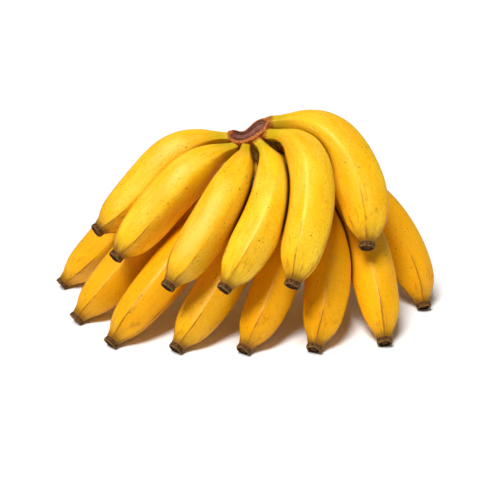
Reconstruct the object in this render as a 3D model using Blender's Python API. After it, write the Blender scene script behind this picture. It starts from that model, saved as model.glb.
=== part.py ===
"""A hand of bananas, as picked and lying on a surface: fourteen fingers in two rows on one cut crown.

Working units are millimetres, turned into metres when a mesh is made. X runs to the right, Y away
from the front of the hand and Z up; the surface that the hand lies on is Z = 0.
"""

import bpy
import numpy as np
from typing import NamedTuple

MM = 0.001

# The hand as a whole.
BOX_CENTRE = (-7.4, 73.6)   # middle of the hand's outline on the surface; the origin goes here
GAP = 0.6                   # air between neighbouring fingers where they press on each other
JOINT = 0.3                 # air at a joint between two pieces that grew together
PRESS_SOFTNESS = 1.5        # how gradually a finger turns into its pressed flat

# The crown: a crescent of stalk, cut away with a knife, which leans towards the front and the left.
CROWN_TOP = (-1.6, 120.0, 145.4)
CROWN_LEANS_FORWARD = 27.0
CROWN_LEANS_LEFT = 29.0
CROWN_HALF_WIDTH = 18.0
CROWN_BULGE = 15.0          # how far the crescent's outer side stands out in front of its ends
CROWN_HOLLOW = 3.2          # how far the cut at the back is dished towards the front
CROWN_HOLLOW_AT = -3.5      # the dish is left of the middle
CROWN_HOLLOW_SPREAD = 7.5
CROWN_END_ANGLE = 106.0     # the crescent runs this far round to each side
CROWN_HEIGHT = 34.0
CROWN_FLARE = 0.2           # how much wider the crown gets for each millimetre below its top
CROWN_SPINE_SHARE = 0.86    # how far out the crescent's spine reaches, as a share of its half width
CROWN_SIDES = 36
# Loops of the crown's skin, from the middle of its top to its underside: share of the way in to the
# crescent's spine, and depth below the top. The top has a dried lip and two shrunken grooves.
CROWN_LOOPS = ((0.86, 0.4), (0.64, 1.4), (0.46, 0.2), (0.30, 1.3), (0.13, -0.8), (0.0, 0.6), (0.0, 5.0),
               (0.0, 20.0), (0.0, 31.0), (0.12, 33.4), (0.45, CROWN_HEIGHT))

# A finger's lengthwise shape: where along it, and its radius as a share of its fullest radius.
UPPER_PROFILE = ((0, .30), (.04, .26), (.09, .31), (.18, .57), (.28, .82), (.40, .97), (.52, 1.0),
                 (.68, .98), (.80, .90), (.885, .77), (.935, .59), (.965, .43), (1.0, .30))
LOWER_PROFILE = ((0, .28), (.05, .27), (.12, .31), (.23, .54), (.36, .80), (.48, .95), (.60, 1.0),
                 (.70, .98), (.81, .90), (.89, .77), (.94, .58), (.968, .42), (1.0, .30))
RIBS = 5                    # a finger is five-sided, with rounded ribs
RIB_STRENGTH = (.30, .70)   # share of a true pentagon: at mid-length, and towards either end
REACH_OUT = 0.40            # share of the chord for which a finger holds its leaving direction
ROOT = 4.0                  # how far a finger's stalk is sunk into the crown before it is cut
STUB = 4.0                  # length of the dried flower end
STUB_FLARE = 1.05           # how much wider the flower end is than the fruit's tip
STUB_DISH = 1.2             # how far the middle of the flower end has shrunk in
STUB_DISH_SHARE = 0.55      # the dish's width as a share of the flower end's
SURFACE_BLOCK = 500.0
RINGS = 21
SIDES = 15
END_CROWDING = 0.7
STUB_RINGS = 3
LINE_POINTS = 81
PRESS_STEPS = 16


class Row(NamedTuple):
    """A row of fingers: its name, how far below the crown's top it grows, the share of the chord for which
    its fingers hold their arriving direction, and its profile."""

    name: str
    drop: float
    reach_in: float
    profile: tuple


class Finger(NamedTuple):
    """A finger: its row, its place round the crown, where its fruit ends, the directions it leaves the
    crown and arrives at its tip in (heading, climb), its fullest width, and the turn of its ribs.
    A heading of 0 points to the front and 90 to the right; angles are in degrees."""

    name: str
    row: Row
    place: float
    tip: tuple
    leave: tuple
    arrive: tuple
    girth: float
    turn: float


UPPER = Row("upper", 6.0, 0.42, UPPER_PROFILE)
LOWER = Row("lower", 25.0, 0.36, LOWER_PROFILE)

FINGERS = (
    Finger("upper_finger_1", UPPER, -95, (-123, 84, 71), (-82, 8), (-53, -22), 38, 60),
    Finger("upper_finger_2", UPPER, -45, (-104, 49, 64), (-46, 3), (-46, -29), 37, 4),
    Finger("upper_finger_3", UPPER, -14, (-60, 7, 60), (-4, -4), (-41, -33), 36, 28),
    Finger("upper_finger_4", UPPER, 20, (-18, 3, 60), (30, -13), (-40, -34), 36, 1),
    Finger("upper_finger_5", UPPER, 52, (32, 4, 63), (60, 13), (-25, -41), 38, 35),
    Finger("upper_finger_6", UPPER, 95, (91, 46, 75), (82, 15), (-8, -44), 42, 55),
    Finger("lower_finger_1", LOWER, -98, (-163, 117, 5.6), (-80, -18), (-62, -34), 39, 50),
    Finger("lower_finger_2", LOWER, -68, (-140, 54, 5.7), (-66, -24), (-54, -30), 38, 15),
    Finger("lower_finger_3", LOWER, -41, (-107, 16, 5.7), (-36, -34), (-44, -30), 37, 45),
    Finger("lower_finger_4", LOWER, -15, (-56, 8, 5.7), (2, -38), (-40, -30), 37, 52),
    Finger("lower_finger_5", LOWER, 10, (-4, 6, 5.7), (36, -38), (-34, -30), 37, 13),
    Finger("lower_finger_6", LOWER, 35, (50, 8, 5.7), (68, -34), (-22, -32), 38, 41),
    Finger("lower_finger_7", LOWER, 62, (105, 18, 5.7), (82, -28), (4, -34), 38, 57),
    Finger("lower_finger_8", LOWER, 94, (145, 77, 5.6), (92, -32), (12, -43), 39, 71),
)


def direction(heading, climb):
    """Unit vector for a heading round the hand and a climb above the level, in degrees."""
    h, c = np.radians(heading), np.radians(climb)
    return np.array([np.cos(c) * np.sin(h), -np.cos(c) * np.cos(h), np.sin(c)])


def crown_axes():
    """The leaning crown's own axes: across it, towards its bulging front, and out of its top."""
    forward = direction(0, -CROWN_LEANS_FORWARD)
    across = direction(90, CROWN_LEANS_LEFT)
    across -= forward * (across @ forward)
    across /= np.linalg.norm(across)
    return across, forward, np.cross(across, -forward)


def crown_point(place, outward, drop):
    """A point at an angle round the crown, a distance outside its bulging side and below its top."""
    across, forward, out_of_top = crown_axes()
    a = np.radians(place)
    outward += CROWN_FLARE * drop
    return (np.array(CROWN_TOP) + (CROWN_HALF_WIDTH + outward) * np.sin(a) * across
            + (CROWN_BULGE + outward) * np.cos(a) * forward - drop * out_of_top)


def smooth_through(knots, x):
    """Values at x of a smooth curve through (place, value) knots that never overshoots them."""
    places, values = np.array(knots, float).T
    step = np.diff(places)
    rise = np.diff(values) / step
    slope = np.zeros(len(places))
    slope[0], slope[-1] = rise[0], rise[-1]
    weight_a, weight_b = 2 * step[1:] + step[:-1], step[1:] + 2 * step[:-1]
    same_way = rise[:-1] * rise[1:] > 0
    slope[1:-1][same_way] = ((weight_a + weight_b)[same_way]
                             / (weight_a / rise[:-1] + weight_b / rise[1:])[same_way])
    i = np.clip(np.searchsorted(places, x) - 1, 0, len(step) - 1)
    t = (x - places[i]) / step[i]
    return ((1 + 2 * t) * (1 - t) ** 2 * values[i] + t * (1 - t) ** 2 * step[i] * slope[i]
            + t * t * (3 - 2 * t) * values[i + 1] + t * t * (t - 1) * step[i] * slope[i + 1])


def along(points, share):
    """Points at shares of the length of a line."""
    length = np.r_[0, np.cumsum(np.linalg.norm(np.diff(points, axis=0), axis=1))]
    return np.stack([np.interp(share * length[-1], length, points[:, k]) for k in range(3)], 1)


def centre_line(finger):
    """Evenly spaced points down a finger's middle, from its sunk root to the end of its stub, and the
    shares of its length at which the fruit starts and ends. The fruit's middle is one cubic Bezier."""
    start, end = crown_point(finger.place, 0, finger.row.drop), np.array(finger.tip, float)
    leave, arrive = direction(*finger.leave), direction(*finger.arrive)
    chord = np.linalg.norm(end - start)
    t = np.linspace(0, 1, 5 * LINE_POINTS)[:, None]
    curve = ((1 - t) ** 3 * start + 3 * (1 - t) ** 2 * t * (start + leave * chord * REACH_OUT)
             + 3 * (1 - t) * t ** 2 * (end - arrive * chord * finger.row.reach_in) + t ** 3 * end)
    inward = crown_point(finger.place, -ROOT, finger.row.drop)
    curve = np.vstack([inward, curve, end + arrive * STUB])
    length = np.linalg.norm(np.diff(curve, axis=0), axis=1)
    starts = length[0] / length.sum()
    ends = 1 - length[-1] / length.sum()
    return along(curve, np.linspace(0, 1, LINE_POINTS)), starts, ends


def radii(finger, starts, ends, share):
    """A finger's round radius at shares of its whole line: the root and the stub hold their widths."""
    fruit = np.clip((share - starts) / (ends - starts), 0, 1)
    return smooth_through(finger.row.profile, fruit) * finger.girth / 2


def carried_frame(points):
    """Two vectors square to a line at each of its points, carried along it without twisting."""
    tangent = np.gradient(points, axis=0)
    tangent /= np.linalg.norm(tangent, axis=1)[:, None]
    up = np.zeros_like(points)
    carried = np.array([0, 0, 1.0])
    for i, t in enumerate(tangent):
        carried = carried - t * (carried @ t)
        carried /= np.linalg.norm(carried)
        up[i] = carried
    return up, np.cross(tangent, up)


def rib_shape(angle, strength):
    """Radius round a section, near 1: a blend of a circle and a five-sided outline."""
    sector = 2 * np.pi / RIBS
    side = np.cos(sector / 2) / np.cos(np.mod(angle, sector) - sector / 2)
    return 1 + strength * (side / side.mean() - 1)


def beyond(points, skin):
    """Distance from points to the round skin of a finger; negative inside it."""
    middle, radius = skin
    nearest = np.full(points.shape[:-1], np.inf)
    for centre, r in zip(middle, radius):
        nearest = np.minimum(nearest, np.linalg.norm(points - centre, axis=-1) - r)
    return nearest


def pressed(centre, spoke, reach, own, others):
    """Shortens spokes from a finger's middle so that its skin stays on its own side of the halfway
    surface between it and each neighbour, half of GAP clear of it. The turn into the flat is soft."""
    for other in others:
        tips = centre + spoke * reach[..., None]
        near = beyond(tips, other) - beyond(tips, own) - GAP < 2 * PRESS_SOFTNESS
        if not near.any():
            continue
        origin, ray, free = centre[near], spoke[near], reach[near]
        low, high = np.zeros(len(free)), free + 2 * PRESS_SOFTNESS
        for _ in range(PRESS_STEPS):
            middle = (low + high) / 2
            at = origin + ray * middle[:, None]
            clear = beyond(at, other) - beyond(at, own) > GAP
            low, high = np.where(clear, middle, low), np.where(clear, high, middle)
        mix = np.clip(0.5 + 0.5 * (low - free) / PRESS_SOFTNESS, 0, 1)
        eased = low * (1 - mix) + free * mix - PRESS_SOFTNESS * mix * (1 - mix)
        reach[near] = np.minimum(eased, low)
    return reach


def spokes(finger, line, starts, ends, share):
    """For rings at shares of a finger: ring centres, unit spokes, and the free radius along each."""
    middle = along(line, share)
    up, side = carried_frame(along(line, np.linspace(0, 1, LINE_POINTS)))
    here = np.linspace(0, 1, LINE_POINTS)
    up = np.stack([np.interp(share, here, up[:, k]) for k in range(3)], 1)
    side = np.stack([np.interp(share, here, side[:, k]) for k in range(3)], 1)
    angle = np.linspace(0, 2 * np.pi, SIDES, endpoint=False)
    turned = angle + np.radians(finger.turn)
    spoke = (np.cos(turned)[None, :, None] * up[:, None] + np.sin(turned)[None, :, None] * side[:, None])
    spoke /= np.linalg.norm(spoke, axis=2)[..., None]
    fruit = np.clip((share - starts) / (ends - starts), 0, 1)
    weak, strong = RIB_STRENGTH
    strength = weak + (strong - weak) * np.abs(2 * fruit - 1) ** 1.5
    strength = np.where(fruit > 0.97, strength * 0.4, strength)
    shape = np.stack([rib_shape(angle, s) for s in strength])
    reach = radii(finger, starts, ends, share)[:, None] * shape
    return np.broadcast_to(middle[:, None], spoke.shape).copy(), spoke, reach


def add_object(name, points, faces, material):
    """A mesh object from points in millimetres, moved so that the origin is under the hand's middle."""
    place = np.array([*BOX_CENTRE, 0.0])
    mesh = bpy.data.meshes.new(name)
    mesh.from_pydata(((np.asarray(points) - place) * MM).tolist(), [], faces)
    mesh.materials.append(material)
    mesh.validate()
    obj = bpy.data.objects.new(name, mesh)
    bpy.context.scene.collection.objects.link(obj)
    mesh.shade_smooth()
    mesh.set_sharp_from_angle(angle=np.radians(50))
    return obj


def tube_faces(rings, sides):
    """Quads between neighbouring rings of points, and a flat cap at each end."""
    def at(i, k):
        return i * sides + k % sides

    faces = [(at(i, k), at(i, k + 1), at(i + 1, k + 1), at(i + 1, k))
             for i in range(rings - 1) for k in range(sides)]
    faces.append(tuple(reversed(range(sides))))
    faces.append(tuple(range((rings - 1) * sides, rings * sides)))
    return faces


def as_helper(obj):
    """Keeps a cutter out of the model."""
    obj.hide_render = True
    obj.display_type = "WIRE"
    return obj


def cut_with(obj, cutter):
    """Takes a cutter's solid away from an object."""
    cut = obj.modifiers.new(cutter.name, "BOOLEAN")
    cut.operation = "DIFFERENCE"
    cut.solver = "EXACT"
    cut.object = cutter


def build_fruit(finger, skins, material, crown_cutter):
    """The yellow fruit with its stalk: rings of pressed skin, closer together towards both ends, cut to
    meet the crown."""
    line, starts, ends = centre_line(finger)
    length = np.linalg.norm(line[1] - line[0]) * (LINE_POINTS - 1)
    even = np.linspace(0, 1, RINGS)
    eased = (1 - np.cos(np.pi * even)) / 2
    share = (ends - JOINT / 2 / length) * (even + eased * END_CROWDING) / (1 + END_CROWDING)
    centre, spoke, reach = spokes(finger, line, starts, ends, share)
    others = [skin for name, skin in skins.items() if name != finger.name]
    reach = pressed(centre, spoke, reach, skins[finger.name], others)
    points = centre + spoke * reach[..., None]
    fruit = add_object(finger.name, points.reshape(-1, 3), tube_faces(RINGS, SIDES), material)
    cut_with(fruit, crown_cutter)


def build_flower_end(finger, skins, material, surface_cutter):
    """The dried flower end: a short ring that flares a little, with a shrunken dish in its end. Those of
    the lower row carry the hand, and have crushed to a small flat where they touch the surface."""
    line, starts, ends = centre_line(finger)
    length = np.linalg.norm(line[1] - line[0]) * (LINE_POINTS - 1)
    share = np.linspace(ends + JOINT / 2 / length, 1.0, STUB_RINGS)
    centre, spoke, reach = spokes(finger, line, starts, ends, share)
    others = [skin for name, skin in skins.items() if name != finger.name]
    reach = pressed(centre, spoke, reach * STUB_FLARE, skins[finger.name], others)
    reach[-1] /= STUB_FLARE
    dish = centre[-1] + spoke[-1] * reach[-1][:, None] * STUB_DISH_SHARE - direction(*finger.arrive) * STUB_DISH
    points = np.concatenate([centre + spoke * reach[..., None], dish[None]])
    name = finger.name.replace("finger", "flower_end")
    stub = add_object(name, points.reshape(-1, 3), tube_faces(STUB_RINGS + 1, SIDES), material)
    if finger.row is LOWER:
        cut_with(stub, surface_cutter)


def crown_side(drop, swell):
    """The crown's bulging side in plan at a depth, as points from its left end round to its right end."""
    end = np.radians(CROWN_END_ANGLE)
    place = np.linspace(-end, end, CROWN_SIDES + 1)
    swell = swell + CROWN_FLARE * drop
    return np.stack([(CROWN_HALF_WIDTH + swell) * np.sin(place), (CROWN_BULGE + swell) * np.cos(place)], 1)


def in_crown(plan, drop):
    """Points of a plan of the crown, at a depth below its top."""
    across, forward, out_of_top = crown_axes()
    return np.array(CROWN_TOP) + plan[:, :1] * across + plan[:, 1:] * forward - drop * out_of_top


def crown_loop(inward, drop):
    """One loop of the crown's skin: its crescent at a depth, drawn part of the way in to its spine."""
    def back_at(x):
        dish = np.exp(-((x - CROWN_HOLLOW_AT) / CROWN_HOLLOW_SPREAD) ** 2)
        return side[0, 1] + (CROWN_HOLLOW - side[0, 1]) * dish

    side = crown_side(max(drop, 0.0), 0.0)
    back_x = np.linspace(side[-1, 0], side[0, 0], CROWN_SIDES // 2 + 1)[1:-1]
    plan = np.vstack([side, np.stack([back_x, back_at(back_x)], 1)])
    spine_x = plan[:, 0] * CROWN_SPINE_SHARE
    front = side[:, 1].max() * np.sqrt(1 - (spine_x / side[:, 0].max()) ** 2)
    spine = np.stack([spine_x, (front + back_at(spine_x)) / 2], 1)
    return in_crown(plan + (spine - plan) * inward, drop)


def build_crown(material):
    """The cut crown: a crescent in plan, carried down its height. Its top has a dried lip round it and
    two grooves that follow the bulging side, and its back is the dished knife cut."""
    loops = [crown_loop(inward, drop) for inward, drop in CROWN_LOOPS]
    faces = [tuple(reversed(f)) for f in tube_faces(len(loops), len(loops[0]))]
    return add_object("crown", np.concatenate(loops), faces, material)


def build_crown_cutter(material):
    """Takes from the stalks what is inside the crown's bulging side, JOINT clear of it, and behind it."""
    loops = []
    for drop in (-CROWN_HEIGHT / 2, CROWN_HEIGHT + JOINT):
        side = crown_side(drop, JOINT)
        behind = side[[-1, 0]] - np.array([0.0, CROWN_HALF_WIDTH])
        loops.append(in_crown(np.vstack([side, behind]), drop))
    faces = [tuple(reversed(f)) for f in tube_faces(2, len(loops[0]))]
    return as_helper(add_object("meets_the_crown", np.concatenate(loops), faces, material))


def build_surface_cutter(material):
    """A block under the surface that the hand lies on."""
    bpy.ops.mesh.primitive_cube_add(size=SURFACE_BLOCK * MM, location=(0, 0, -SURFACE_BLOCK * MM / 2))
    block = bpy.context.object
    block.name = "meets_the_surface"
    block.data.materials.append(material)
    return as_helper(block)


def new_material(name, colour, roughness):
    """A Principled material in one colour, given as linear red, green and blue."""
    material = bpy.data.materials.new(name)
    material.use_nodes = True
    shader = material.node_tree.nodes["Principled BSDF"]
    shader.inputs["Base Color"].default_value = (*colour, 1.0)
    shader.inputs["Roughness"].default_value = roughness
    shader.inputs["Metallic"].default_value = 0.0
    material.diffuse_color = (*colour, 1.0)
    return material


def clear_scene():
    for obj in list(bpy.data.objects):
        bpy.data.objects.remove(obj)


def main():
    clear_scene()
    peel = new_material("ripe_peel", (0.93, 0.52, 0.03), 0.42)
    dried = new_material("dried_flower_end", (0.07, 0.035, 0.02), 0.85)
    cut_stalk = new_material("cut_crown", (0.25, 0.10, 0.05), 0.75)

    build_crown(cut_stalk)
    crown_cutter = build_crown_cutter(cut_stalk)
    surface_cutter = build_surface_cutter(dried)

    here = np.linspace(0, 1, LINE_POINTS)
    skins = {}
    for finger in FINGERS:
        line, starts, ends = centre_line(finger)
        skins[finger.name] = (line, radii(finger, starts, ends, here))
    for finger in FINGERS:
        build_fruit(finger, skins, peel, crown_cutter)
        build_flower_end(finger, skins, dried, surface_cutter)


main()
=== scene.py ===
"""The looks of a hand of ripe bananas that lies on its flower ends: the cut crown with its dried rim, fourteen
ribbed and freckled fingers pressed against each other, and the dark flower ends."""

import bpy
import numpy as np
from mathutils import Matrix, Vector


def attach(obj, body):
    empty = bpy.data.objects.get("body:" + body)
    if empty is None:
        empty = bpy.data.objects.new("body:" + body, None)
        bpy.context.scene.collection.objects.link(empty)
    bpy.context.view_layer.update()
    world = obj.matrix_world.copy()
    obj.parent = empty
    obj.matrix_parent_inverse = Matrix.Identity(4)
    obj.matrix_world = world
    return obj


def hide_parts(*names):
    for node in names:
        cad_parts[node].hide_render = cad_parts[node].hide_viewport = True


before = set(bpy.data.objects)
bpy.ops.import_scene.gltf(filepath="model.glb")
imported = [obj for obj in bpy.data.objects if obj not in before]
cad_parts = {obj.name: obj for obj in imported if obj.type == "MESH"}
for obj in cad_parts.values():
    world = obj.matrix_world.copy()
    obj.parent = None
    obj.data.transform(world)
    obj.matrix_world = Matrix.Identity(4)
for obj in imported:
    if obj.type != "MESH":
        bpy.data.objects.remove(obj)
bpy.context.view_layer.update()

# --- The crown -------------------------------------------------------------------------------------------------
# The crown is the pad of stalk on which all the fingers grow, a crescent in plan that leans forward and to the left.
# A knife cut it off the stem: the cut face has dried to a mauve brown with dark shrunken rings, and its edge has
# curled into an orange brown lip. Sizes are in millimetres until the mesh is made.

MM = 0.001
BOX_CENTRE = (-7.4, 73.6)           # the hand is drawn from its crown, and the origin is under its middle
CROWN_TOP = (-1.6, 120.0, 145.4)
CROWN_LEANS_FORWARD = 27.0
CROWN_LEANS_LEFT = 29.0
CROWN_HALF_WIDTH = 18.0
CROWN_BULGE = 15.0
CROWN_HOLLOW = 3.2                  # the knife cut at the back is dished: how deep, where and how wide
CROWN_HOLLOW_AT = -3.5
CROWN_HOLLOW_SPREAD = 7.5
CROWN_END_ANGLE = 106.0             # the bulging side's ends, in degrees from the front
CROWN_HEIGHT = 34.0
CROWN_FLARE = 0.2                   # how much wider it gets for each millimetre down
CROWN_SPINE_SHARE = 0.86            # length of the line in the middle of the cut face, as a share of the crescent's
UPPER_PLACES = (-95, -45, -14, 20, 52, 95)              # where the stalks grow, in degrees round the crown
LOWER_PLACES = (-98, -68, -41, -15, 10, 35, 62, 94)
UPPER_DROP = 6.0                    # how far below the top each row of stalks grows
LOWER_DROP = 25.0
COLLAR = 1.1                        # how far the crown swells out at the root of each stalk
COLLAR_SPREAD = 9.0                 # in degrees
LIP = 1.1                           # height of the dried lip
LIP_CURL = 0.7                      # how far it curls outwards
LIP_WIDE = 0.02                     # and over what share of the way along the skin
SUNK_MIDDLE = 0.9                   # how far the middle of the cut face has sunk
RINGS_DEEP = 1.1                    # depth of the shrunken rings
SHRUNKEN_RINGS = ((0.08, 0.06, 1.0), (0.30, 0.045, 0.8))      # share of the way in past the rim, width, depth
RIM_WIDE = 0.52                     # the tanned rim's share of the way in, towards the stalks
RIM_NARROW = 0.10                   # and along the knife cut
BACK_FROM = 0.6                     # share of the way round at which the knife cut starts
LIP_AT = 0.45                       # share of the way from the cut face's spine to the underside: the lip
FOOT_AT = 0.9                       # and the foot of the side
FOOT_ROUNDED = 2.2                  # height over which the foot turns in under the crown
SIDE_WAVES = 0.35                   # height of the waves along the bulging side
CUT_WAVES = 0.3                     # and along the knife cut
CUT_GRAIN = 0.16                    # height of the grain on the cut face
CROWN_LOOPS = 70
CROWN_ROUND = 260


def direction(heading, climb):
    """Unit vector from a heading (0 to the front, 90 to the right) and a climb above the level, in degrees."""
    h, c = np.radians(heading), np.radians(climb)
    return np.array([np.cos(c) * np.sin(h), -np.cos(c) * np.cos(h), np.sin(c)])


def crown_axes():
    """The crown's own axes: across it, towards its bulging side, and out of its cut face, all square."""
    forward = direction(0, -CROWN_LEANS_FORWARD)
    across = direction(90, CROWN_LEANS_LEFT)
    across -= forward * (across @ forward)
    across /= np.linalg.norm(across)
    return across, forward, np.cross(across, -forward)


def from_crown(x, y, drop):
    """Points from crown coordinates: the crown's top plus x across, y forward, less the drop out of its top."""
    across, forward, out = crown_axes()
    return np.array(CROWN_TOP) + x[..., None] * across + y[..., None] * forward - drop[..., None] * out


def to_crown(points):
    """Crown coordinates of points: the offset from the crown's top, resolved along its three axes."""
    across, forward, out = crown_axes()
    offset = points - np.array(CROWN_TOP)
    return offset @ across, offset @ forward, -(offset @ out)


def ripple(*angles):
    """A smooth, seamless wobble between about -1 and 1: a sum of sines of given angles with unlike phases."""
    total = sum(np.sin(a + 1.7 * k) / (1 + 0.35 * k) for k, a in enumerate(angles))
    return total / sum(1 / (1 + 0.35 * k) for k in range(len(angles)))


def smooth_step(low, high, x):
    """0 below low, 1 above high, and the cubic 3tt - 2ttt between."""
    t = np.clip((x - low) / (high - low), 0, 1)
    return t * t * (3 - 2 * t)


def collars(place, drop):
    """How far the side swells towards each stalk: a bell in the angle round the crown for each place, the upper
    row's bells fading into the lower row's from 10 to 20 mm down."""
    def bells(places):
        return sum(np.exp(-((place - p) / COLLAR_SPREAD) ** 2) for p in places)

    lower = smooth_step(10, 20, drop)
    return COLLAR * ((1 - lower) * bells(UPPER_PLACES) * np.exp(-((drop - UPPER_DROP - 1) / 7) ** 2)
                     + lower * bells(LOWER_PLACES))


def knife_side(u):
    """0 along the bulging side and 1 along the knife cut at the back, with a short blend at both ends."""
    t = np.clip((u - BACK_FROM) / (1 - BACK_FROM), 0, 1)
    return smooth_step(0, 0.15, t) * (1 - smooth_step(0.85, 1, t))


def rim_width(u):
    """How far in the tanned rim reaches: broad along the bulging side, and narrow along the knife cut."""
    return RIM_WIDE + (RIM_NARROW - RIM_WIDE) * knife_side(u)


def shrunken_rings(past_rim):
    """Depth of the shrunken rings, from 0 to 1: a bell across each, by the share of the way in past the rim."""
    return sum(np.exp(-((past_rim - at) / wide) ** 2) * deep for at, wide, deep in SHRUNKEN_RINGS)


def crown_skin(u, v):
    """The whole skin of the crown. u runs round the crescent: along the bulging side from its left end, and back
    along the knife cut. v runs from the spine of the cut face out to the lip, down the side and in under the crown.
    Each loop is the crescent, drawn in to its spine by a share, and lowered by a depth that adds a lip, two
    shrunken rings and a dish. Gives the points, that share and how far down the side they are."""
    inward = np.interp(v, (0, LIP_AT, FOOT_AT, 1.0), (0.97, 0.0, 0.0, 0.6))
    side_drop = np.interp(v, (0, LIP_AT, LIP_AT + LIP_WIDE, FOOT_AT, 1.0),
                          (0, 0, 0.9, CROWN_HEIGHT - FOOT_ROUNDED, CROWN_HEIGHT))
    on_top = 1 - smooth_step(LIP_AT - LIP_WIDE / 2, LIP_AT + LIP_WIDE, v)
    bulging = u <= BACK_FROM
    end = np.radians(CROWN_END_ANGLE)
    place = -end + 2 * end * np.clip(u / BACK_FROM, 0, 1)
    flare = CROWN_FLARE * side_drop
    lobes = collars(np.degrees(place), side_drop) * bulging * np.where(v > LIP_AT - LIP_WIDE / 2, 1, 1 - inward)
    curl = LIP_CURL * np.exp(-((v - LIP_AT) / LIP_WIDE) ** 2)
    waves = SIDE_WAVES * ripple(9 * place, 23 * place, 41 * place + 0.4 * side_drop) * bulging
    swell = flare + lobes + curl + waves
    end_x, end_y = CROWN_HALF_WIDTH * np.sin(end), CROWN_BULGE * np.cos(end)

    def back_at(x):
        dish = (CROWN_HOLLOW - end_y) * np.exp(-((x - CROWN_HOLLOW_AT) / CROWN_HOLLOW_SPREAD) ** 2)
        return end_y + flare * np.cos(end) + dish

    t = np.clip((u - BACK_FROM) / (1 - BACK_FROM), 0, 1)
    back_x = (end_x + flare * np.sin(end)) * (1 - 2 * t)
    waves = CUT_WAVES * ripple(2 * np.pi * 3 * t, 2 * np.pi * 7 * t + 0.3 * side_drop) * np.sin(np.pi * t)
    x = np.where(bulging, (CROWN_HALF_WIDTH + swell) * np.sin(place), back_x)
    y = np.where(bulging, (CROWN_BULGE + swell) * np.cos(place), back_at(back_x) + waves)
    spine_x = x * CROWN_SPINE_SHARE
    front = (CROWN_BULGE + flare) * np.sqrt(np.clip(1 - (spine_x / (CROWN_HALF_WIDTH + flare)) ** 2, 0, 1))
    spine_y = (front + back_at(spine_x)) / 2
    rings = shrunken_rings(inward - rim_width(u))
    lip = np.sin(np.pi * np.clip(inward / rim_width(u), 0, 1))
    grain = CUT_GRAIN * ripple(31 * x / 8 + 5 * inward, 57 * x / 9, 90 * inward)
    relief = RINGS_DEEP * rings + SUNK_MIDDLE * smooth_step(0.1, 0.5, inward) - LIP * lip + grain
    drop = side_drop + on_top * (relief - 0.2)
    return from_crown(x + (spine_x - x) * inward, y + (spine_y - y) * inward, drop), inward, side_drop


def sheet_faces(rows, columns):
    """Quads of a grid of points that closes round its columns, each turned to face out where rows run along the
    piece and columns round it."""
    i, k = np.meshgrid(np.arange(rows - 1), np.arange(columns), indexing="ij")
    after = (k + 1) % columns
    quads = np.stack([i * columns + k, i * columns + after, (i + 1) * columns + after, (i + 1) * columns + k], -1)
    return quads.reshape(-1, 4)


def make_piece(name, points, quads, caps, material, **values):
    """A smooth closed mesh from a grid of points in millimetres, moved over the origin. Each cap is a loop of point
    numbers that one face closes. values become attributes on the points."""
    mesh = bpy.data.meshes.new(name)
    placed = (points.reshape(-1, 3) - np.array([*BOX_CENTRE, 0.0])) * MM
    sizes = np.array([4] * len(quads) + [len(loop) for loop in caps])
    corners = np.concatenate([quads.ravel(), *caps])
    mesh.vertices.add(len(placed))
    mesh.vertices.foreach_set("co", placed.ravel())
    mesh.loops.add(len(corners))
    mesh.loops.foreach_set("vertex_index", corners)
    mesh.polygons.add(len(sizes))
    mesh.polygons.foreach_set("loop_start", np.r_[0, np.cumsum(sizes)[:-1]])
    mesh.polygons.foreach_set("loop_total", sizes)
    mesh.update(calc_edges=True)
    mesh.shade_smooth()
    for key, value in values.items():
        kind, field = ("FLOAT_VECTOR", "vector") if value.ndim == 3 else ("FLOAT", "value")
        mesh.attributes.new(key, kind, "POINT").data.foreach_set(field, value.ravel())
    mesh.materials.append(material)
    piece = bpy.data.objects.new(name, mesh)
    bpy.context.scene.collection.objects.link(piece)
    return piece


def colour(hex_code):
    """Linear red, green, blue and 1 from an sRGB hex code."""
    s = np.array([int(hex_code[i:i + 2], 16) for i in (1, 3, 5)]) / 255
    return (*np.where(s <= 0.04045, s / 12.92, ((s + 0.055) / 1.055) ** 2.4), 1.0)


def add_node(tree, kind, settings, *values, give=None, **links):
    """Adds a shader node and gives one of its outputs: the first in use, unless another is named. settings are the
    node's own properties. values go into its inputs in their order, and links into those named, underscores for
    spaces. Each is a number, a vector, a hex code or the output of another node."""
    node = tree.nodes.new("ShaderNode" + kind)
    for key, value in settings.items():
        setattr(node, key, value)
    inputs = [socket for socket in node.inputs if socket.enabled]
    named = {socket.name.replace(" ", "_"): socket for socket in inputs}
    for socket, value in [*zip(inputs, values), *((named[key], value) for key, value in links.items())]:
        if isinstance(value, bpy.types.NodeSocket):
            tree.links.new(value, socket)
        else:
            socket.default_value = colour(value) if isinstance(value, str) else value
    return node.outputs[give] if give else next(socket for socket in node.outputs if socket.enabled)


def new_material(name, **surface):
    """A material with one Principled shader, its uniform values set on the shader's own sockets."""
    material = bpy.data.materials.new(name)
    material.use_nodes = True
    shader = material.node_tree.nodes["Principled BSDF"]
    for key, value in surface.items():
        shader.inputs[key.replace("_", " ")].default_value = value
    return material, material.node_tree, shader


BLEND = {"data_type": "RGBA"}                           # on Mix: a share, and the colours at 0 and at 1
SOFT = {"interpolation_type": "SMOOTHSTEP"}             # on MapRange: a value, from low and high, to low and high
TIMES, PLUS, LESS = ({"operation": name} for name in ("MULTIPLY", "ADD", "SUBTRACT"))
PER_MM = 1000.0                                         # a pattern's Scale for features of one millimetre

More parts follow.
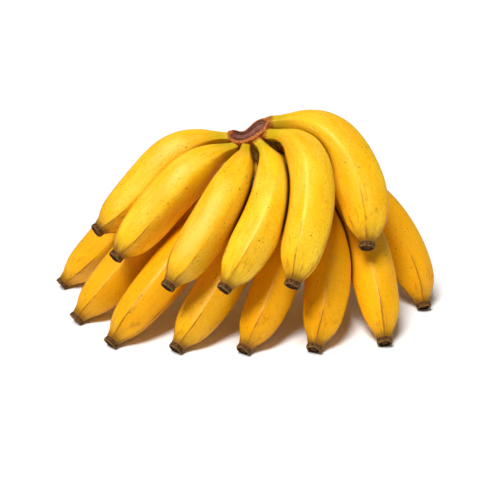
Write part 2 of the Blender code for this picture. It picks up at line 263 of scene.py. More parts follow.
# Dried and weathered banana stalk, cut with a knife: cork-dry, so rough all over, with dark rings where the sap
# dried and an orange lip of tanned skin. It is lighter and redder on the lip and mauve on the cut.
crown_material, tree, shader = new_material("dried cut stalk", Roughness=0.72, Specular_IOR_Level=0.3)
where = add_node(tree, "TexCoord", {}, give="Object")
past_rim, drop, rings, knife = (add_node(tree, "Attribute", {"attribute_name": name}, give="Fac")
                                for name in ("past_rim", "drop", "rings", "knife"))
mottle = add_node(tree, "TexNoise", {}, where, Scale=PER_MM / 3.2, Detail=4, Roughness=0.55)
fine = add_node(tree, "TexNoise", {}, where, Scale=PER_MM / 0.9, Detail=4, Roughness=0.65)
elsewhere = add_node(tree, "Mapping", {}, where, Location=(0.3, 0.1, 0.2))
speck = add_node(tree, "TexNoise", {}, elsewhere, Scale=PER_MM / 0.55, Detail=2, Roughness=0.55)
cut_face = add_node(tree, "Mix", BLEND, add_node(tree, "MapRange", SOFT, mottle, 0.35, 0.68), "#6e3b2e", "#9c6252")
rim = add_node(tree, "Mix", BLEND, add_node(tree, "MapRange", SOFT, fine, 0.38, 0.66), "#9a4a18", "#e08c40")
uneven = add_node(tree, "Math", TIMES, add_node(tree, "Math", LESS, mottle, 0.5), 0.25)
in_from_rim = add_node(tree, "MapRange", SOFT, add_node(tree, "Math", PLUS, past_rim, uneven), -0.04, 0.06)
face = add_node(tree, "Mix", BLEND, in_from_rim, rim, cut_face)
face = add_node(tree, "Mix", BLEND, add_node(tree, "MapRange", SOFT, rings, 0.15, 0.75, 0, 0.92), face, "#2c0d0c")
face = add_node(tree, "Mix", BLEND, add_node(tree, "MapRange", SOFT, speck, 0.62, 0.72, 0, 0.6), face, "#d9a878")
# Below the lip, the side between the stalks is still skin, an olive yellow that has browned in streaks. The knife cut
# at the back shows the stalk's own strands, dried to a dull tan with darker sap lines.
upright = add_node(tree, "Attribute", {"attribute_name": "upright"}, give="Vector")
drawn_out = add_node(tree, "Mapping", {}, upright, Scale=(1, 1, 1 / 12))
strand = add_node(tree, "TexNoise", {}, drawn_out, Scale=PER_MM / 1.3, Detail=5, Roughness=0.6)
drawn_out = add_node(tree, "Mapping", {}, upright, Location=(0.1, 0.2, 0.4), Scale=(1, 1, 1 / 2.5))
broad = add_node(tree, "TexNoise", {}, drawn_out, Scale=PER_MM / 5, Detail=3, Roughness=0.55)
old_skin = add_node(tree, "Mix", BLEND, add_node(tree, "MapRange", SOFT, broad, 0.36, 0.62), "#b39a2c", "#8f6f22")
streaks = add_node(tree, "MapRange", SOFT, strand, 0.44, 0.70, 0, 0.65)
old_skin = add_node(tree, "Mix", BLEND, streaks, old_skin, "#6b4a1c")
knife_cut = add_node(tree, "Mix", BLEND, add_node(tree, "MapRange", SOFT, strand, 0.34, 0.60), "#6a4426", "#b08a5c")
sap = add_node(tree, "MapRange", SOFT, broad, 0.42, 0.66, 0, 0.55)
knife_cut = add_node(tree, "Mix", BLEND, sap, knife_cut, "#7d4f34")
side = add_node(tree, "Mix", BLEND, knife, old_skin, knife_cut)
ragged_drop = add_node(tree, "Math", PLUS, drop, add_node(tree, "Math", TIMES, mottle, 3.0))
stalk = add_node(tree, "Mix", BLEND, add_node(tree, "MapRange", SOFT, ragged_drop, 4.5, 9.0), face, side)
tree.links.new(stalk, shader.inputs["Base Color"])
height = add_node(tree, "Math", PLUS, add_node(tree, "Math", PLUS, fine, speck),
                  add_node(tree, "Math", TIMES, strand, 1.5))
relief = add_node(tree, "Bump", {}, Strength=0.7, Distance=0.0006, Height=height)
tree.links.new(relief, shader.inputs["Normal"])

u, v = np.meshgrid(np.linspace(0, 1, CROWN_ROUND, endpoint=False), np.linspace(0, 1, CROWN_LOOPS), indexing="xy")
points, inward, side_drop = crown_skin(u, v)
first_loop = np.arange(CROWN_ROUND)
last_loop = first_loop + (CROWN_LOOPS - 1) * CROWN_ROUND
crown = make_piece("cut_crown", points, sheet_faces(CROWN_LOOPS, CROWN_ROUND)[:, ::-1],
                   [first_loop, last_loop[::-1]], crown_material, past_rim=inward - rim_width(u), drop=side_drop,
                   rings=shrunken_rings(inward - rim_width(u)) * (v < LIP_AT), knife=knife_side(u),
                   upright=np.stack(to_crown(points), -1) * MM)
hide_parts("crown")
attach(crown, "root")

# --- The fingers -----------------------------------------------------------------------------------------------
# A finger is one banana: a stalk that leaves the crown, a bend, and a taper to the flower end. Its peel is five-sided
# with soft ribs, waxy and a little translucent, and flat where it is pressed on its neighbours.

# Widths along the fruit, as shares of its full width.
UPPER_PROFILE = ((0, .30), (.04, .27), (.09, .33), (.18, .57), (.28, .82), (.40, .97), (.52, 1.0),
                 (.68, .98), (.80, .90), (.885, .77), (.935, .59), (.965, .43), (1.0, .30))
LOWER_PROFILE = ((0, .28), (.05, .27), (.12, .31), (.23, .54), (.36, .80), (.48, .95), (.60, 1.0),
                 (.70, .98), (.81, .90), (.89, .77), (.94, .58), (.968, .42), (1.0, .30))
REACH_OUT = 0.40                    # how far the bend's handles reach, as shares of its chord: out of the crown
UPPER_REACH_IN = 0.42               # and into the tip
LOWER_REACH_IN = 0.36
UPPER_ROW = (UPPER_DROP, UPPER_REACH_IN, UPPER_PROFILE)
LOWER_ROW = (LOWER_DROP, LOWER_REACH_IN, LOWER_PROFILE)
# Each finger: where its fruit ends; heading and climb as it leaves the crown, and as it arrives; width; how far its
# ribs are turned; how orange it has ripened. Those of the lower row are riper, and their deeper orange is also painted
# shade, as that row lies in the shade of the upper one.
UPPER_FINGERS = (((-123, 84, 71), (-82, 8), (-53, -22), 38, 60, 0.2),
                 ((-104, 49, 64), (-46, 3), (-46, -29), 37, 4, 0.1),
                 ((-60, 7, 60), (-4, -4), (-41, -33), 36, 28, 0.3),
                 ((-18, 3, 60), (30, -13), (-40, -34), 36, 1, 0.0),
                 ((32, 4, 63), (60, 13), (-25, -41), 38, 35, 0.1),
                 ((91, 46, 75), (82, 15), (-8, -44), 42, 55, 0.2))
LOWER_FINGERS = (((-163, 117, 5.6), (-80, -18), (-62, -34), 39, 50, 0.7),
                 ((-140, 54, 5.7), (-66, -24), (-54, -30), 38, 15, 0.8),
                 ((-107, 16, 5.7), (-36, -34), (-44, -30), 37, 45, 0.9),
                 ((-56, 8, 5.7), (2, -38), (-40, -30), 37, 52, 0.7),
                 ((-4, 6, 5.7), (36, -38), (-34, -30), 37, 13, 1.0),
                 ((50, 8, 5.7), (68, -34), (-22, -32), 38, 41, 0.9),
                 ((105, 18, 5.7), (82, -28), (4, -34), 38, 57, 0.7),
                 ((145, 77, 5.6), (92, -32), (12, -43), 39, 71, 0.8))
RIBS = 5
RIB_STRENGTH = (.42, .85)           # share of a true pentagon at mid-length, and towards the ends
RIB_ROUNDING = (.10, .05)           # how round the ribs are at the same places, in radians
PENTAGON_MEAN = 0.9195              # mean radius of a pentagon whose corners are at 1
CREASE = 0.12                       # height of the fine line along each rib
CREASE_SPREAD = 0.8
WOBBLE = 0.35                       # how far each finger is uneven
ROOT = 4.0                          # how far a finger's line starts inside the crown
STUB = 4.0                          # length of the flower end
SUNK = 0.7                          # how far a stalk's root goes into the crown's side
GAP = 0.6                           # between two fingers that are pressed together
PRESS_SOFTNESS = 1.5
PRESS_STEPS = 13
LINE_POINTS = 81
ALONG = 150
AROUND = 90


def smooth_through(knots, x):
    """Values at x of a curve through (place, value) knots that never overshoots: cubic pieces whose slopes are the
    weighted harmonic means of the rises on both sides."""
    places, values = np.array(knots, float).T
    step = np.diff(places)
    rise = np.diff(values) / step
    slope = np.zeros(len(places))
    slope[0], slope[-1] = rise[0], rise[-1]
    one, two = 2 * step[1:] + step[:-1], step[1:] + 2 * step[:-1]
    same = rise[:-1] * rise[1:] > 0
    one, two = one[same], two[same]
    slope[1:-1][same] = (one + two) / (one / rise[:-1][same] + two / rise[1:][same])
    i = np.clip(np.searchsorted(places, x) - 1, 0, len(step) - 1)
    t = (x - places[i]) / step[i]
    return ((1 + 2 * t) * (1 - t) ** 2 * values[i] + t * (1 - t) ** 2 * step[i] * slope[i]
            + t * t * (3 - 2 * t) * values[i + 1] + t * t * (t - 1) * step[i] * slope[i + 1])


def along(points, share):
    """Points at shares of a line's length."""
    length = np.r_[0, np.cumsum(np.linalg.norm(np.diff(points, axis=0), axis=1))]
    return np.stack([np.interp(share * length[-1], length, points[:, k]) for k in range(3)], -1)


def on_crown(place, outward, depth):
    """A point at an angle round the crown, a distance outside its side, at a depth below its top."""
    a = np.radians(place)
    out = outward + CROWN_FLARE * depth
    return from_crown(np.array((CROWN_HALF_WIDTH + out) * np.sin(a)), np.array((CROWN_BULGE + out) * np.cos(a)),
                      np.array(depth, float))


class Banana:
    """One finger: its line, the frame that is carried along it, and its widths."""

    def __init__(self, name, number, place, row, shape):
        """The line runs from the root, sunk in the crown, along one cubic Bezier to the end of the fruit, and
        straight on through the flower end. The frame is carried along it without a twist."""
        self.name, self.number = name, number
        depth, reach_in, self.profile = row
        tip, leave, arrive, self.girth, self.turn, self.ripeness = shape
        start, end = on_crown(place, 0, depth), np.array(tip, float)
        leaving, arriving = direction(*leave), direction(*arrive)
        chord = np.linalg.norm(end - start)
        t = np.linspace(0, 1, 5 * LINE_POINTS)[:, None]
        curve = ((1 - t) ** 3 * start + 3 * (1 - t) ** 2 * t * (start + leaving * chord * REACH_OUT)
                 + 3 * (1 - t) * t ** 2 * (end - arriving * chord * reach_in) + t ** 3 * end)
        curve = np.vstack([on_crown(place, -ROOT, depth), curve, end + arriving * STUB])
        length = np.linalg.norm(np.diff(curve, axis=0), axis=1)
        self.length = length.sum()
        self.starts, self.ends = length[0] / self.length, 1 - length[-1] / self.length
        self.shares = np.linspace(0, 1, LINE_POINTS)
        self.line = along(curve, self.shares)
        tangents = np.gradient(self.line, axis=0)
        tangents /= np.linalg.norm(tangents, axis=1)[:, None]
        carried, ups = np.array([0, 0, 1.0]), []
        for tangent in tangents:
            carried = carried - tangent * (carried @ tangent)
            carried /= np.linalg.norm(carried)
            ups.append(carried)
        self.up, self.side = np.array(ups), np.cross(tangents, np.array(ups))
        self.radius = self.width_at(self.shares)

    def fruit_share(self, share):
        """0 at the crown and 1 where the flower end starts."""
        return np.clip((share - self.starts) / (self.ends - self.starts), 0, 1)

    def width_at(self, share):
        """The round radius at shares of the line."""
        return smooth_through(self.profile, self.fruit_share(share)) * self.girth / 2

    def frame_at(self, share, angle):
        """Middle points of the line, and unit spokes that turn round it by an angle from the carried frame."""
        def read(values):
            return np.stack([np.interp(share, self.shares, values[:, k]) for k in range(3)], -1)

        turned = (angle + np.radians(self.turn))[..., None]
        spoke = np.cos(turned) * read(self.up) + np.sin(turned) * read(self.side)
        return read(self.line), spoke / np.linalg.norm(spoke, axis=-1)[..., None]


def beyond(points, banana):
    """Distance from points to a finger's round skin: the least, over the spheres along its line, of the distance
    to a sphere's middle less its radius."""
    nearest = np.full(points.shape[:-1], np.inf)
    for middle, radius in zip(banana.line, banana.radius):
        offset = points - middle
        nearest = np.minimum(nearest, np.sqrt(np.einsum("...k,...k", offset, offset)) - radius)
    return nearest


def pressed(banana, middle, spoke, reach):
    """Shortens spokes to stay on the finger's own side of the surface half-way to each neighbour, half a gap clear of
    it. The place is found by halving, and a soft minimum turns the skin into its flat. Also gives the clearance left
    to the nearest neighbour, in millimetres."""
    reach = reach.copy()
    clearance = np.full(reach.shape, 50.0)
    for other in bananas:
        apart = np.linalg.norm(banana.line[:, None] - other.line[None], axis=2)
        if other is banana or (apart - banana.radius[:, None] - other.radius[None]).min() > 4 * PRESS_SOFTNESS:
            continue
        skin = middle + spoke * reach[..., None]
        away = beyond(skin, other)
        clearance = np.minimum(clearance, away)
        near = away - beyond(skin, banana) - GAP < 2 * PRESS_SOFTNESS
        if not near.any():
            continue
        origin, ray, free = middle[near], spoke[near], reach[near]
        low, high = np.zeros(len(free)), free + 2 * PRESS_SOFTNESS
        for _ in range(PRESS_STEPS):
            half = (low + high) / 2
            at = origin + ray * half[:, None]
            clear = beyond(at, other) - beyond(at, banana) > GAP
            low, high = np.where(clear, half, low), np.where(clear, high, half)
        mix = np.clip(0.5 + 0.5 * (low - free) / PRESS_SOFTNESS, 0, 1)
        reach[near] = np.minimum(low * (1 - mix) + free * mix - PRESS_SOFTNESS * mix * (1 - mix), low)
    return reach, np.maximum(clearance, 0)


def ribbed(banana, share, angle):
    """The free radius of the peel: the round radius, times a blend of a circle and a pentagon with rounded corners,
    plus a fine crease along each rib near both ends, plus a slow wobble that differs on each finger. Also gives the
    distance off the nearest rib."""
    fruit = banana.fruit_share(share)
    sector = 2 * np.pi / RIBS
    from_rib = np.mod(angle + sector / 2, sector) - sector / 2
    to_ends = np.abs(2 * fruit - 1) ** 1.5
    rounded = np.sqrt(from_rib ** 2 + (RIB_ROUNDING[0] + (RIB_ROUNDING[1] - RIB_ROUNDING[0]) * to_ends) ** 2)
    pentagon = np.cos(sector / 2) / np.cos(sector / 2 - rounded)
    strength = RIB_STRENGTH[0] + (RIB_STRENGTH[1] - RIB_STRENGTH[0]) * to_ends
    strength = strength * (1 - 0.6 * smooth_step(0.955, 0.985, fruit))
    radius = banana.width_at(share)
    off_rib = np.abs(from_rib) * radius
    creased = smooth_step(0.70, 0.95, fruit) + 0.5 * (1 - smooth_step(0.10, 0.25, fruit))
    crease = CREASE * np.exp(-(off_rib / CREASE_SPREAD) ** 2) * creased
    n = banana.number
    wobble = WOBBLE * ripple(angle + 7 * fruit + n, 2 * angle - 11 * fruit + 2.3 * n,
                             3 * angle + 19 * fruit + 4.1 * n)
    shape = 1 + strength * (pentagon / PENTAGON_MEAN - 1)
    return radius * shape + crease + wobble * smooth_step(0.1, 0.3, fruit), off_rib


def in_the_crown(points):
    """How deep points are inside the crown's side, from the ellipse of the side at their depth below the top; behind
    the crescent's ends, everything between them counts as inside."""
    x, y, depth = to_crown(points)
    out = CROWN_FLARE * depth - SUNK
    half_width, bulge = CROWN_HALF_WIDTH + out, CROWN_BULGE + out
    end = np.radians(CROWN_END_ANGLE)
    ahead = 1 - np.sqrt((x / half_width) ** 2 + (y / bulge) ** 2)
    behind = 1 - np.abs(x) / (half_width * np.sin(end))
    return np.where(y > bulge * np.cos(end), ahead, behind)


def peel_points(banana):
    """The peel as a grid, along by around, evenly spread but closer at both ends. Each line along it starts where it
    comes out of the crown's side, at the last of the trial places that is still inside."""
    angle = np.linspace(0, 2 * np.pi, AROUND, endpoint=False)[None, :]
    trial = np.linspace(0, 0.2, 80)[:, None]
    share, round_it = np.broadcast_arrays(trial, angle)
    middle, spoke = banana.frame_at(share, round_it)
    inside = in_the_crown(middle + spoke * ribbed(banana, share, round_it)[0][..., None]) > 0
    first = np.where(inside.any(0), trial[:, 0][inside.shape[0] - 1 - np.argmax(inside[::-1], axis=0)], 0.0)
    even = np.linspace(0, 1, ALONG)[:, None]
    crowded = 0.55 * even + 0.45 * (1 - np.cos(np.pi * even)) / 2
    share = first[None, :] + (banana.ends - first[None, :]) * crowded
    round_it = np.broadcast_to(angle, share.shape)
    middle, spoke = banana.frame_at(share, round_it)
    reach, off_rib = ribbed(banana, share, round_it)
    reach, clearance = pressed(banana, middle, spoke, reach)
    return middle + spoke * reach[..., None], share, round_it, off_rib, clearance


bananas = []
for row_name, places, row, shapes in (("upper", UPPER_PLACES, UPPER_ROW, UPPER_FINGERS),
                                      ("lower", LOWER_PLACES, LOWER_ROW, LOWER_FINGERS)):
    for count, (place, shape) in enumerate(zip(places, shapes), 1):
        bananas.append(Banana(f"{row_name}_finger_{count}", len(bananas), place, row, shape))

# Ripe banana peel: a thin wax over deep yellow skin that lets a little light in, so it is satin with a broad pale
# highlight and warm in its own shade. It is olive on the stalk, tan before the flower end, brown along the ribs near
# the tip, and freckled.
peel_material, tree, shader = new_material(
    "ripe banana peel", IOR=1.45, Specular_IOR_Level=0.55, Specular_Tint=colour("#ffe292"), Subsurface_Weight=0.06,
    Subsurface_Radius=(1.0, 0.35, 0.03), Subsurface_Scale=0.003, Coat_Weight=0.15, Coat_Roughness=0.40)
# The peel's patterns lie on the finger rolled out straight. Each has its size in millimetres, how many times longer
# it is along the finger, its detail and roughness, and its own place. The real fibres and sand are about half as
# wide, too fine to show, so they are drawn this coarse.
straight = add_node(tree, "Attribute", {"attribute_name": "straight"}, give="Vector")
cloud, patch, fibre, sand, broken, drift, scuff, smudge = (
    add_node(tree, "TexNoise", {}, add_node(tree, "Mapping", {}, straight, Location=place, Scale=(1, 1, 1 / longer)),
             Scale=PER_MM / size, Detail=detail, Roughness=rough)
    for size, longer, detail, rough, place in (
        (26, 1.8, 3, 0.55, (0, 0, 0)),                  # the slow change of the yellow
        (8, 3, 4, 0.55, (0.02, 0.05, 0.3)),             # paler patches, and the uneven edge of each colour
        (1.1, 14, 4, 0.6, (0, 0, 0)),                   # the lengthwise fibres of the skin
        (1.4, 1.6, 2, 0.55, (0.2, 0.8, 0.4)),           # its grain, like sand
        (16, 1, 2, 0.55, (0.9, 0.3, 0.2)),              # where the lines on the ribs break off
        (19, 1, 2, 0.55, (0.4, 0.2, 0.1)),              # where freckles and scuffs lie closer
        (1.0, 6, 2, 0.5, (0.11, 0.7, 0.5)),             # scuffs from handling
        (5, 2, 4, 0.6, (0.6, 0.1, 0.9))))               # smudges near the tip
fruit, off_rib, clearance, from_crown_mm, to_tip_mm, ripeness = (
    add_node(tree, "Attribute", {"attribute_name": name}, give="Fac")
    for name in ("fruit", "off_rib", "clearance", "from_crown", "to_tip", "ripeness"))
uneven = add_node(tree, "Math", TIMES, add_node(tree, "Math", LESS, patch, 0.5), 22.0)

# The yellow: clouds of two tones; paler patches on the less ripe upper row, which are partly painted highlight; a
# deeper orange on the riper lower row, which is partly painted shade; fibres, and a grain like fine sand.
yellow = add_node(tree, "Mix", BLEND, add_node(tree, "MapRange", SOFT, cloud, 0.30, 0.70), "#fab606", "#ffcc10")
pale = add_node(tree, "Math", TIMES, add_node(tree, "MapRange", SOFT, patch, 0.36, 0.70, 0.05, 0.50),
                add_node(tree, "Math", LESS, 1.0, ripeness))
yellow = add_node(tree, "Mix", BLEND, pale, yellow, "#ffde50")
yellow = add_node(tree, "Mix", BLEND, add_node(tree, "Math", TIMES, ripeness, 0.68), yellow, "#f09a00")
yellow = add_node(tree, "Mix", BLEND, add_node(tree, "MapRange", SOFT, fibre, 0.50, 0.78, 0, 0.28), yellow, "#cf8204")
yellow = add_node(tree, "Mix", BLEND, add_node(tree, "MapRange", SOFT, sand, 0.44, 0.64, 0, 0.20), yellow, "#c98406")

# Green is left on the stalk, and the tip has turned tan, both with an uneven edge.
ragged = add_node(tree, "Math", PLUS, from_crown_mm, uneven)
on_stalk = add_node(tree, "MapRange", SOFT, ragged, 6.0, 27.0, 0.64, 0)
ragged = add_node(tree, "Math", PLUS, to_tip_mm, add_node(tree, "Math", TIMES, uneven, 0.5))
near_tip = add_node(tree, "MapRange", SOFT, ragged, 1.0, 15.0, 0.62, 0)
tip_tone = add_node(tree, "Mix", BLEND, add_node(tree, "MapRange", SOFT, fibre, 0.42, 0.62), "#b08a0c", "#8a560a")
# Painted shade between the fingers: the skin turns orange brown where a neighbour lies within 5 mm, and a near-black
# brown in the seams within about 2 mm, standing in for the shade and shadow that fall between them.
painted_gap_shade = add_node(tree, "MapRange", SOFT, clearance, 0.0, 5.0, 0.62, 0)
painted_seam_shadow = add_node(tree, "MapRange", SOFT, clearance, 0.0, 2.2, 0.78, 0)
# The ribs are worn to a thin brown line near the tip, which breaks up and fades towards the middle of the finger.
frayed = add_node(tree, "Math", TIMES, add_node(tree, "Math", LESS, fibre, 0.5), 2.4)
ragged = add_node(tree, "Math", PLUS, off_rib, frayed)
line = add_node(tree, "MapRange", SOFT, ragged, 0.10, 0.95, 1, 0)
ragged = add_node(tree, "Math", PLUS, fruit, add_node(tree, "Math", TIMES, uneven, 0.020))
worn = add_node(tree, "Math", TIMES, add_node(tree, "MapRange", SOFT, ragged, 0.60, 0.92, 0, 0.82),
                add_node(tree, "MapRange", SOFT, broken, 0.38, 0.54, 0.35, 1))
rib_line = add_node(tree, "Math", TIMES, line, worn)
beside_rib = add_node(tree, "Math", TIMES, add_node(tree, "MapRange", SOFT, off_rib, 0.5, 5.0, 0.22, 0), worn)
# Freckles up to a millimetre across lie in drifts, finer ones all over, and short scuffs along the finger.
freckles = []
for cell_mm, soft, largest, none_below, strength in ((4.4, 0.02, 0.15, 0.28, 0.85), (1.9, 0.03, 0.22, 0.22, 0.75)):
    off_dot = add_node(tree, "TexVoronoi", {"feature": "F1"}, straight, Scale=PER_MM / cell_mm, Randomness=1.0)
    drifting = add_node(tree, "Math", TIMES, add_node(tree, "Math", LESS, drift, 0.5), 1.1)
    chance = add_node(tree, "Math", PLUS, off_dot.node.outputs["Color"], drifting)
    size = add_node(tree, "MapRange", SOFT, chance, none_below, 1.0, 0, largest)
    inside = add_node(tree, "Math", LESS, size, off_dot)
    freckles.append(add_node(tree, "MapRange", SOFT, inside, 0, soft, 0, strength))
scuffs = add_node(tree, "Math", TIMES, add_node(tree, "MapRange", SOFT, scuff, 0.68, 0.75),
                  add_node(tree, "MapRange", SOFT, drift, 0.42, 0.58))
# Rust-coloured smudges lie near the tips, and at the very ends the skin has dried with what it joins.
smudges = add_node(tree, "Math", TIMES, add_node(tree, "MapRange", SOFT, smudge, 0.55, 0.70),
                   add_node(tree, "MapRange", SOFT, to_tip_mm, 6.0, 50.0, 0.60, 0))
ragged = add_node(tree, "Math", PLUS, to_tip_mm, add_node(tree, "Math", TIMES, uneven, 0.25))
burnt = add_node(tree, "MapRange", SOFT, ragged, 0.6, 6.5, 1, 0)
burnt_tone = add_node(tree, "Mix", BLEND, add_node(tree, "MapRange", SOFT, fibre, 0.40, 0.62), "#8f5c0e", "#5c3408")
ragged = add_node(tree, "Math", PLUS, from_crown_mm, add_node(tree, "Math", TIMES, uneven, 0.16))
tanned = add_node(tree, "MapRange", SOFT, ragged, 2.6, 5.2, 0.85, 0)
tanned_tone = add_node(tree, "Mix", BLEND, add_node(tree, "MapRange", SOFT, fibre, 0.35, 0.65), "#8c4614", "#bb6f26")

skin = yellow
for share, tone in ((on_stalk, "#b8a40c"), (near_tip, tip_tone), (painted_gap_shade, "#a85a04"), (painted_seam_shadow, "#3c1e04"),
                    (rib_line, "#744006"), (beside_rib, "#c87c0a"), (freckles[0], "#633409"), (freckles[1], "#754407"),
                    (add_node(tree, "Math", TIMES, scuffs, 0.65), "#7a430f"), (smudges, "#a85f0c"),
                    (add_node(tree, "Math", TIMES, burnt, 0.85), burnt_tone), (tanned, tanned_tone)):
    skin = add_node(tree, "Mix", BLEND, share, skin, tone)
tree.links.new(skin, shader.inputs["Base Color"])
gloss = add_node(tree, "MapRange", SOFT, patch, 0.3, 0.75, 0.40, 0.50)
gloss = add_node(tree, "Math", PLUS, gloss, add_node(tree, "Math", TIMES, scuffs, 0.2))
gloss = add_node(tree, "Math", PLUS, gloss, add_node(tree, "Math", TIMES, burnt, 0.25))
tree.links.new(gloss, shader.inputs["Roughness"])
height = add_node(tree, "Math", PLUS, add_node(tree, "Math", TIMES, fibre, 0.6),
                  add_node(tree, "Math", TIMES, patch, 0.8))
height = add_node(tree, "Math", LESS, height, add_node(tree, "Math", TIMES, scuffs, 0.35))
relief = add_node(tree, "Bump", {}, Strength=0.35, Distance=0.0005, Height=height)
tree.links.new(relief, shader.inputs["Normal"])

ROLLED_APART = 260.0                # between two fingers rolled out, so that no two show the same part of a pattern

for banana in bananas:
    points, share, round_it, off_rib_here, clearance_here = peel_points(banana)
    first_ring = np.arange(AROUND)
    last_ring = first_ring + (ALONG - 1) * AROUND
    rolled_out = np.stack([np.cos(round_it) * banana.girth / 2, np.sin(round_it) * banana.girth / 2,
                           share * banana.length + ROLLED_APART * banana.number], -1) * MM
    peel = make_piece(banana.name.replace("finger", "peel"), points, sheet_faces(ALONG, AROUND),
                      [first_ring[::-1], last_ring], peel_material, straight=rolled_out,
                      fruit=banana.fruit_share(share), off_rib=off_rib_here, clearance=clearance_here,
                      from_crown=(share - share[:1]) * banana.length, to_tip=(banana.ends - share) * banana.length,
                      ripeness=np.full(share.shape, banana.ripeness))
    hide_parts(banana.name)
    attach(peel, "root")

# --- The flower ends -------------------------------------------------------------------------------------------
# Where the flower fell off, each finger ends in a short dark stub of dried tissue, with a torn rim, a sunken ring and
# a small scar in the middle. Those of the lower row have crushed flat where they carry the hand.

# The stub's outline from its joint, over the rim and in to the scar: share of its radius, and depth past the fruit.
STUB_OUTLINE = ((.93, -1.2), (1.0, -0.3), (1.03, 0.6), (1.04, 1.6), (1.05, 2.6), (1.03, 3.4), (.97, 3.9), (.89, 3.9),
                (.80, 3.3), (.70, 2.7), (.60, 2.6), (.50, 3.0), (.42, 3.3), (.34, 3.0), (.26, 2.7), (.16, 3.1),
                (.06, 3.3))
STUB_TORN = 0.38                    # height of the tears in the rim
STUB_WRINKLES = 0.20                # and of the wrinkles inside it
STUB_LUMPS = 0.035                  # how uneven it is round its side, as a share of its radius
STUB_LOOPS = 44
STUB_ROUND = 72


def stub_points(banana):
    """The stub's skin: its outline carried round the finger's end, torn by ripples that grow towards the rim, with
    radial wrinkles inside it. It is pressed like the peel, and lies flat where it would sink into the surface. Also
    gives how far in along the outline each point is."""
    angle = np.linspace(0, 2 * np.pi, STUB_ROUND, endpoint=False)[None, :]
    step = np.linspace(0, 1, STUB_LOOPS)[:, None]
    knots = np.linspace(0, 1, len(STUB_OUTLINE))
    shares, depths = np.array(STUB_OUTLINE).T
    spread = smooth_through(np.stack([knots, shares], 1), step)
    depth = smooth_through(np.stack([knots, depths], 1), step)
    n = banana.number
    torn = ripple(3 * angle + n, 7 * angle - 2 * n, 13 * angle + 3 * n, 29 * angle + n)
    at_rim = np.exp(-((step - 0.42) / 0.14) ** 2)
    wrinkle = ripple(17 * angle + n, 31 * angle + 2 * n)
    inside_rim = smooth_step(0.45, 0.6, step) * (1 - smooth_step(0.85, 1, step))
    depth = depth + STUB_TORN * torn * at_rim + STUB_WRINKLES * wrinkle * inside_rim
    lumps = STUB_LUMPS * ripple(5 * angle + 2 * n, 11 * angle + n, 23 * angle)
    spread = spread * (1 + lumps * smooth_step(0.05, 0.3, step))
    share, round_it = np.broadcast_arrays(banana.ends + depth / banana.length, angle)
    middle, spoke = banana.frame_at(np.clip(share, 0, 1), round_it)
    full, _ = ribbed(banana, np.full(share.shape, banana.ends), round_it)
    reach = pressed(banana, middle, spoke, full)[0] * spread
    points = middle + spoke * reach[..., None]
    points[..., 2] = np.maximum(points[..., 2], 0.0)
    return points, np.broadcast_to(step, share.shape)


# Dried flower tissue: dark brown and fibrous, quite matt, with pale crumbs caught in the ring and on the torn rim.
stub_material, tree, shader = new_material("dried flower end", Roughness=0.85, Specular_IOR_Level=0.25)
where = add_node(tree, "TexCoord", {}, give="Object")
step_in = add_node(tree, "Attribute", {"attribute_name": "step_in"}, give="Fac")
crumb = add_node(tree, "TexNoise", {}, where, Scale=PER_MM / 0.7, Detail=3, Roughness=0.6)
mottle = add_node(tree, "TexNoise", {}, where, Scale=PER_MM / 2.2, Detail=3, Roughness=0.55)
dry = add_node(tree, "Mix", BLEND, add_node(tree, "MapRange", SOFT, mottle, 0.35, 0.65), "#3c240e", "#704a1e")
on_rim = add_node(tree, "Math", TIMES, add_node(tree, "MapRange", SOFT, step_in, 0.26, 0.34),
                  add_node(tree, "MapRange", SOFT, step_in, 0.44, 0.50, 1, 0))
frayed = add_node(tree, "Math", TIMES, on_rim, add_node(tree, "MapRange", SOFT, crumb, 0.35, 0.60))
dry = add_node(tree, "Mix", BLEND, frayed, dry, "#8f6c38")
in_ring = add_node(tree, "Math", TIMES, add_node(tree, "MapRange", SOFT, step_in, 0.45, 0.52, 0, 0.80),
                   add_node(tree, "MapRange", SOFT, step_in, 0.66, 0.76, 1, 0))
dry = add_node(tree, "Mix", BLEND, in_ring, dry, "#1c0f07")
dry = add_node(tree, "Mix", BLEND, add_node(tree, "MapRange", SOFT, crumb, 0.62, 0.72, 0, 0.55), dry, "#96764c")
tree.links.new(dry, shader.inputs["Base Color"])
relief = add_node(tree, "Bump", {}, Strength=0.8, Distance=0.0005, Height=add_node(tree, "Math", PLUS, crumb, mottle))
tree.links.new(relief, shader.inputs["Normal"])

for banana in bananas:
    points, step_here = stub_points(banana)
    joint_ring = np.arange(STUB_ROUND)
    scar_ring = joint_ring + (STUB_LOOPS - 1) * STUB_ROUND
    stub = make_piece(banana.name.replace("finger", "stub"), points, sheet_faces(STUB_LOOPS, STUB_ROUND),
                      [joint_ring[::-1], scar_ring], stub_material, step_in=step_here)
    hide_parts(banana.name.replace("finger", "flower_end"))
    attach(stub, "root")

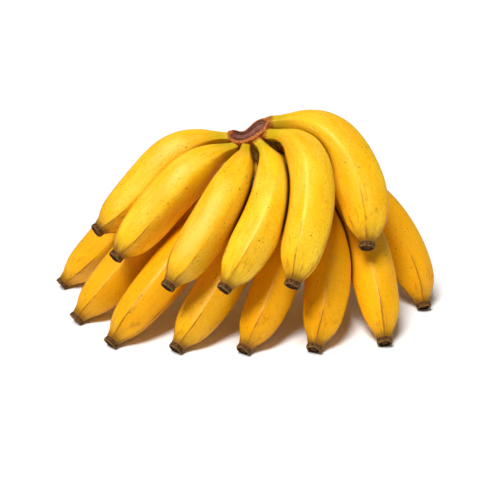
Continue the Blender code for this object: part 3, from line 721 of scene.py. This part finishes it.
# --- The floor, the light and the camera -----------------------------------------------------------------------
# A plain pale studio floor that runs out of sight, one broad soft key light from the upper left and front, a weaker
# one from the right, and a pale wall all round that gives only a little light. The camera looks down at 25 degrees.

FLOOR_HALF = 6.0                    # in metres, as all of this section

# Matt pale paper: it takes soft shadows and shows no reflection.
floor_material, tree, shader = new_material("pale studio floor", Base_Color=colour("#f4f4f4"), Roughness=0.9,
                                            Specular_IOR_Level=0.1)
mesh = bpy.data.meshes.new("floor")
mesh.from_pydata([(x * FLOOR_HALF, y * FLOOR_HALF, 0) for x, y in ((-1, -1), (1, -1), (1, 1), (-1, 1))],
                 [], [(0, 1, 2, 3)])
mesh.materials.append(floor_material)
floor = bpy.data.objects.new("floor", mesh)
bpy.context.scene.collection.objects.link(floor)


def soft_sun(name, toward, strength, spread):
    """A white sun that shines along a heading and climb (0 is to the front), softened by its angle across in
    degrees."""
    light = bpy.data.lights.new(name, "SUN")
    light.energy, light.angle = strength, np.radians(spread)
    lamp = bpy.data.objects.new(name, light)
    lamp.rotation_euler = Vector(direction(*toward)).to_track_quat("-Z", "Y").to_euler()
    bpy.context.scene.collection.objects.link(lamp)


soft_sun("key", (145, -64), 3.7, 24)
soft_sun("fill", (-120, -35), 0.12, 60)

world = bpy.data.worlds.new("pale wall")
world.use_nodes = True
wall = world.node_tree.nodes["Background"]
wall.inputs["Color"].default_value = (1, 1, 1, 1)
seen = add_node(world.node_tree, "LightPath", {}, give="Is Camera Ray")
brightness = add_node(world.node_tree, "MapRange", {}, seen, 0, 1, 0.09, 1)
world.node_tree.links.new(brightness, wall.inputs["Strength"])
bpy.context.scene.world = world
bpy.context.scene.view_settings.view_transform = "Standard"

lens = bpy.data.cameras.new("camera")
lens.sensor_width, lens.lens = 36.0, 67.0
camera = bpy.data.objects.new("camera", lens)
camera.location = (0.0074, -0.6846, 0.376)
camera.rotation_euler = (np.radians(90 - 25), 0, 0)
bpy.context.scene.collection.objects.link(camera)
bpy.context.scene.camera = camera
